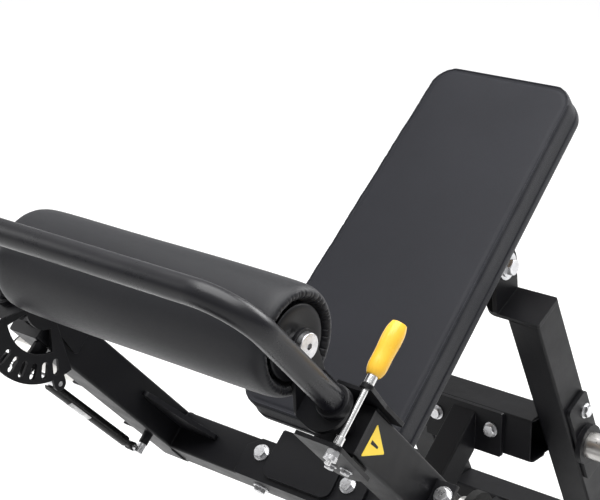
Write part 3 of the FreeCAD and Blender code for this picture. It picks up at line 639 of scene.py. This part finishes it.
def make_roller():
    """Vinyl over foam, drawn in with gathers round each end disc."""
    gathers = gather_depths()
    loops = []
    for x, r, row in roller_profile():
        rim = row >= RIM_ROW
        share = min(1.0, max(0.0, (row - PLEAT_ROW) / PLEAT_ROWS))
        loop = []
        for k, a in enumerate(circle(ROLLER_SIDES)):
            turned = (k + (LEFT_END_TURN if x < 0 else 0)) % ROLLER_SIDES
            pull = share * gathers[turned]
            soft = 0.25 * math.sin(3 * a + x / 90) + 0.2 * math.sin(5 * a - x / 47)
            radius = r + soft * (0.3 if rim else 1.0) - PLEAT_DEPTH * pull
            loop.append(on_roller(x - math.copysign(PLEAT_DRAW * pull, x) if rim else x, radius, a))
        loops.append(loop)
    left, right = [[on_roller(x, CORE_R, a) for a in circle(ROLLER_SIDES)] for x in (-CORE_X, CORE_X)]
    points, faces = rings([left, *loops, right])
    roller = mesh_object("roller_cover", points, faces, MATERIALS["roller_vinyl"])
    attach(roller, "roller")
    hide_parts("roller_sleeve")


def make_roller_ends():
    """Moulded discs with a rounded rim and a shallow dish, closing the ends of the roller."""
    profile = [(245.1, 12.6), (245.1, 50.6), (246.0, 51.6), (247.2, 51.2), (248.4, 49.8), (249.2, 47.0),
               (249.4, 43.0), (249.1, 37.0), (248.4, 30.0), (247.6, 25.0), (247.2, 20.0), (247.2, 12.6)]
    for side, sign in (("left", -1), ("right", 1)):
        points, faces = hoop([[on_roller(sign * x, r, a) for a in circle(DISC_SIDES)] for x, r in profile])
        disc = mesh_object("roller_end_cover_" + side, points, faces, MATERIALS["black_plastic"])
        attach(disc, "roller")
        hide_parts("roller_end_discs")


# ---------------------------------------------------------------- labels, welds and tread

def sheet_piece(name, outline, place, thickness, body, material):
    """Thin label with a softened edge: outline points (u, v) in millimetres, place(u, v, lift)."""
    levels = [(0.02, 0.0), (thickness * 0.7, 0.0), (thickness, 0.25)]
    centre = Vector((sum(u for u, v in outline), sum(v for u, v in outline))) / len(outline)
    loops = []
    for lift, inset in levels:
        loop = []
        for u, v in outline:
            away = Vector((u, v)) - centre
            drawn = centre + away * (1 - inset / away.length)
            loop.append(place(drawn.x, drawn.y, lift))
        loops.append(loop)
    points, faces = rings(loops)
    label = mesh_object(name, points, faces, material, smooth=False)
    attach(label, body)


def rounded_polygon(corners, radius, steps=6):
    """Outline round a convex polygon, given counter-clockwise, with its corners rounded."""
    points = []
    count = len(corners)
    for i in range(count):
        before, corner, after = (Vector(corners[(i + k) % count]) for k in (-1, 0, 1))
        inward = ((before - corner).normalized() + (after - corner).normalized()).normalized()
        half = (before - corner).angle(after - corner) / 2
        centre = corner + inward * radius / math.sin(half)
        start = (corner - before).normalized()
        first = Vector((start.y, -start.x))
        turn = math.pi - 2 * half
        for k in range(steps + 1):
            a = turn * k / steps
            points.append(centre + radius * Vector((first.x * math.cos(a) - first.y * math.sin(a),
                                                    first.x * math.sin(a) + first.y * math.cos(a))))
    return [(p.x, p.y) for p in points]


def make_sticker():
    """Plain yellow triangle with a dark bar, on the outer face of the right arm."""
    thickness = 0.35

    def place(d, c, lift):
        return swing(ARM_OUTER + lift, d, c)

    def place_mark(d, c, lift):
        return place(d, c, lift + thickness)

    triangle = [(125.5, -80.0), (173.0, -55.5), (127.0, -32.0)]
    bar = [(132.0, -58.6), (152.0, -57.4), (152.0, -54.0), (132.0, -52.8)]
    sheet_piece("arm_sticker", rounded_polygon(triangle, 1.5), place, thickness,
                "press_frame", MATERIALS["yellow_label"])
    sheet_piece("arm_sticker_mark", rounded_polygon(bar, 0.8), place_mark, 0.15,
                "press_frame", MATERIALS["black_plastic"])


def make_spring_label():
    """Narrow silver label along the lower side of the gas spring's cylinder."""
    line = (SPRING_LUG - SPRING_BALL).normalized()
    across = Vector((-line.y, line.x))
    loops = []
    sides = 24
    for along in LABEL_ALONG:
        centre = SPRING_BALL + line * along
        loop = []
        for radius, order in ((SPRING_R + 0.25, range(sides + 1)),
                              (SPRING_R + 0.03, range(sides, -1, -1))):
            for k in order:
                a = math.radians(LABEL_START + LABEL_SWEEP * k / sides)
                point = centre + across * radius * math.cos(a)
                loop.append(swing(SPRING_X + radius * math.sin(a), point.x, point.y))
        loops.append(loop)
    points, faces = rings(loops)
    band = mesh_object("spring_label", points, faces, MATERIALS["silver_label"])
    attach(band, "gas_cylinder")


def add_rings(points, faces, loops):
    """Adds one more closed form to a mesh that has several."""
    base = len(points)
    more_points, more_faces = rings(loops)
    points += more_points
    faces += [tuple(base + v for v in face) for face in more_faces]


def bead(points, faces, start, end, radius):
    """Adds one weld bead between two points: a thin rope of overlapping ripples, four steps each."""
    axis = end - start
    length = axis.length
    axis.normalize()
    side = axis.cross(Vector((0.3, 0.5, 0.81))).normalized()
    up = axis.cross(side)
    steps = max(8, round(length * 1000 / RIPPLE_PITCH) * 4)
    loops = []
    for i in range(steps + 1):
        t = i / steps
        ripple = 1.0 + 0.16 * math.cos(2 * math.pi * i / 4) + random.uniform(-0.05, 0.05)
        taper = min(1.0, 6 * t + 0.25, 6 * (1 - t) + 0.25)
        r = radius / 1000 * ripple * taper
        centre = start + axis * length * t
        loops.append([centre + r * (math.cos(a) * side + math.sin(a) * up) for a in circle(10)])
    add_rings(points, faces, loops)


def make_frame_welds():
    """Weld beads of the swing frame."""
    points, faces = [], []
    near, far, low, high = HORN_WEB
    for sign in (-1, 1):
        x = sign * ARM_INNER
        outer = sign * ARM_OUTER
        seams = [((x, CROSS_FRONT, ARM_BOTTOM + 4), (x, CROSS_FRONT, ARM_TOP - 4)),
                 ((x, CROSS_FRONT + 4, ARM_TOP), (x, ARM_BACK - 4, ARM_TOP)),
                 ((x, CROSS_FRONT + 4, ARM_BOTTOM), (x, ARM_BACK - 4, ARM_BOTTOM)),
                 ((x, 388, GUSSET_TOP), (x, 500, GUSSET_TOP)),
                 ((sign * 198, CROSS_FRONT, GUSSET_TOP), (sign * 264, CROSS_FRONT, GUSSET_TOP)),
                 ((outer, near, high), (outer, far, high)),
                 ((outer, near, low), (outer, far, low)),
                 ((sign * 104, CROSS_FRONT, -20), (sign * 116, CROSS_FRONT, -34)),
                 ((sign * 30, 521, ARM_TOP), (sign * 30, 563, ARM_TOP))]
        for start, end in seams:
            bead(points, faces, swing(*start), swing(*end), WELD_R)
    welds = mesh_object("swing_frame_welds", points, faces, MATERIALS["powder_coat"])
    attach(welds, "press_frame")


def make_base_welds():
    """Weld beads where the floor frame's tubes meet."""
    points, faces = [], []
    rail_low, rail_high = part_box("base_center_rail")
    beam_low, beam_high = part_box("rear_upper_crossbeam")
    seams = []
    for y in (rail_low[1], rail_high[1]):
        seams += [((x, y, rail_low[2] + BEAD_SHORT), (x, y, rail_high[2] - BEAD_SHORT))
                  for x in (rail_low[0], rail_high[0])]
        seams.append(((rail_low[0] + BEAD_SHORT, y, rail_high[2]),
                      (rail_high[0] - BEAD_SHORT, y, rail_high[2])))
    seams += [((x, beam_low[1] + 0.005, z), (x, beam_high[1] - 0.03, z))
              for x in (beam_low[0], beam_high[0]) for z in (beam_low[2], beam_high[2])]
    for start, end in seams:
        bead(points, faces, Vector(start), Vector(end), BASE_WELD_R)
    welds = mesh_object("floor_frame_welds", points, faces, MATERIALS["powder_coat"])
    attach(welds, "base")


def make_tread():
    """Raised anti-slip studs on the foot plate, clear of its four bolts."""
    plate = Matrix.Translation(PLATFORM_CENTRE) @ Matrix.Rotation(-PLATFORM_SLOPE, 4, "X")
    profile = [(6.5, -0.2), (6.3, 0.5), (5.2, 1.3), (3.2, 1.7)]
    points, faces = [], []
    for row in range(-5, 6):
        for column in range(-9, 10):
            x = (column + (0.5 if row % 2 else 0.0)) * STUD_PITCH
            y = row * STUD_PITCH
            outside = abs(x) > TREAD_HALF[0] or abs(y) > TREAD_HALF[1]
            at_bolt = max(abs(abs(x) - BOLT_PLACE[0]), abs(abs(y) - BOLT_PLACE[1])) < BOLT_ROOM
            if outside or at_bolt:
                continue
            add_rings(points, faces,
                      [[plate @ (Vector((x + r * math.cos(a), y + r * math.sin(a), height)) / 1000)
                        for a in circle(12)] for r, height in profile])
    studs = mesh_object("foot_plate_tread", points, faces, MATERIALS["black_rubber"])
    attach(studs, "base")


pad = make_pad()
make_pad_seam(pad)
make_pad_back()
make_roller()
make_roller_ends()
make_sticker()
make_spring_label()
make_frame_welds()
make_base_welds()
make_tread()


# ---------------------------------------------------------------- studio

def make_floor():
    """Plain pale floor without an edge in sight."""
    m = Nodes("studio_floor")
    m.colour(m.ramp(m.noise(0.8, 3.0), (0.3, grey(0.36)), (0.7, grey(0.38))))
    m.set(Roughness=0.75)
    m.set(Emission_Color=(1.0, 1.0, 1.0, 1.0), Emission_Strength=FLOOR_GLOW)
    points = [(x * FLOOR_HALF, y * FLOOR_HALF, 0) for x, y in ((-1, -1), (1, -1), (1, 1), (-1, 1))]
    floor = mesh_object("studio_floor", points, [(0, 1, 2, 3)], m.material, smooth=False)


def soft_box(name, place, target, size, power):
    """Rectangular lamp turned towards a target."""
    lamp = bpy.data.lights.new(name, "AREA")
    lamp.shape = "RECTANGLE"
    lamp.size, lamp.size_y = size
    lamp.energy = power
    holder = bpy.data.objects.new(name, lamp)
    holder.location = place
    holder.rotation_mode = "QUATERNION"
    holder.rotation_quaternion = (Vector(target) - Vector(place)).to_track_quat("-Z", "Y")
    bpy.context.scene.collection.objects.link(holder)


def make_world():
    """Soft light that grows from the horizon upwards."""
    world = bpy.data.worlds.new("studio")
    world.use_nodes = True
    tree = world.node_tree
    background = tree.nodes["Background"]
    coords = tree.nodes.new("ShaderNodeTexCoord")
    split = tree.nodes.new("ShaderNodeSeparateXYZ")
    ramp = tree.nodes.new("ShaderNodeValToRGB")
    for element, position, colour in zip(ramp.color_ramp.elements, (0.0, 0.6),
                                         ((0.25, 0.25, 0.265, 1), (1, 1, 1, 1))):
        element.position = position
        element.color = colour
    tree.links.new(coords.outputs["Generated"], split.inputs[0])
    tree.links.new(split.outputs["Z"], ramp.inputs["Fac"])
    tree.links.new(ramp.outputs["Color"], background.inputs["Color"])
    background.inputs["Strength"].default_value = 0.8
    bpy.context.scene.world = world


def make_camera():
    """Long lens from the front right, a little above."""
    lens = bpy.data.cameras.new("camera")
    lens.sensor_width = 36.0
    lens.lens = 99.2
    camera = bpy.data.objects.new("camera", lens)
    camera.location = ROLLER + Vector((1.488, -1.492, 0.816))
    camera.rotation_mode = "QUATERNION"
    camera.rotation_quaternion = Vector((-0.6005, 0.7259, -0.3355)).to_track_quat("-Z", "Y")
    bpy.context.scene.collection.objects.link(camera)
    bpy.context.scene.camera = camera


make_floor()
make_world()
soft_box("overhead", (0.3, 0.2, 3.4), (0, 0.1, 0.6), (3.2, 3.2), 200)
soft_box("left_fill", (-3.2, -1.2, 2.0), (0, 0, 0.6), (2.0, 2.0), 42)
soft_box("back_rim", (0.8, 3.2, 2.2), (0, 0.2, 0.7), (2.4, 1.4), 80)
make_camera()
bpy.context.scene.view_settings.view_transform = "Standard"
